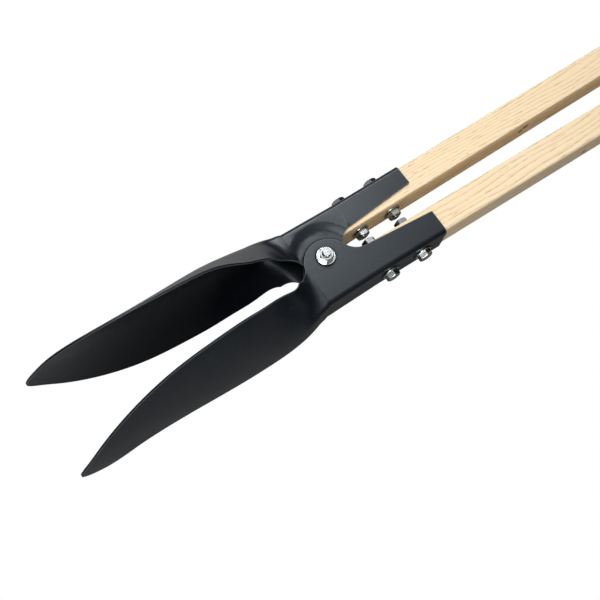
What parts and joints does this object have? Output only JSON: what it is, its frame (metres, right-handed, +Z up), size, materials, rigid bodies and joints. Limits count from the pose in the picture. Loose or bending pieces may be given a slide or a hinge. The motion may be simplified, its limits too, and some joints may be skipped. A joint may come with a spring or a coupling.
{
  "type": "post hole digger",
  "caption": "Clamshell digging tool: two pointed trough-shaped steel blades hinged on a pivot bolt, each folded into a socket that holds a long wooden handle.",
  "frame": {"origin": "under the middle of the tool as it lies flat with its handles together, on the plane it lies on", "axes": "+X along the handles away from the blades, +Z up through the nut of the pivot bolt, +Y towards the left half"},
  "size_m": [1.5614, 0.1192, 0.1722],
  "materials": {
    "painted_steel": "satin black enamel on pressed sheet steel, worn thin at the edges",
    "handle_wood": "pale straight-grained ash, lightly sealed",
    "zinc_fasteners": "bright zinc plate"
  },
  "bodies": {
    "right_half": {"pivot_bolt": "zinc_fasteners", "pivot_head_washer": "zinc_fasteners", "pivot_nut_washer": "zinc_fasteners", "pivot_nut": "zinc_fasteners", "right_blade": "painted_steel", "right_handle": "handle_wood", "right_lower_bolt": "zinc_fasteners", "right_lower_head_washer": "zinc_fasteners", "right_lower_nut_washer": "zinc_fasteners", "right_lower_nut": "zinc_fasteners", "right_upper_bolt": "zinc_fasteners", "right_upper_head_washer": "zinc_fasteners", "right_upper_nut_washer": "zinc_fasteners", "right_upper_nut": "zinc_fasteners"},
    "left_half": {"left_blade": "painted_steel", "left_handle": "handle_wood", "left_lower_bolt": "zinc_fasteners", "left_lower_head_washer": "zinc_fasteners", "left_lower_nut_washer": "zinc_fasteners", "left_lower_nut": "zinc_fasteners", "left_upper_bolt": "zinc_fasteners", "left_upper_head_washer": "zinc_fasteners", "left_upper_nut_washer": "zinc_fasteners", "left_upper_nut": "zinc_fasteners"}
  },
  "joints": [
    {"name": "blade_pivot", "type": "hinge", "parent": "right_half", "child": "left_half", "pos_m": [-0.46313, 0, 0.08612], "axis": [0, 0, 1], "range_deg": [-1.9, 17]}
  ]
}
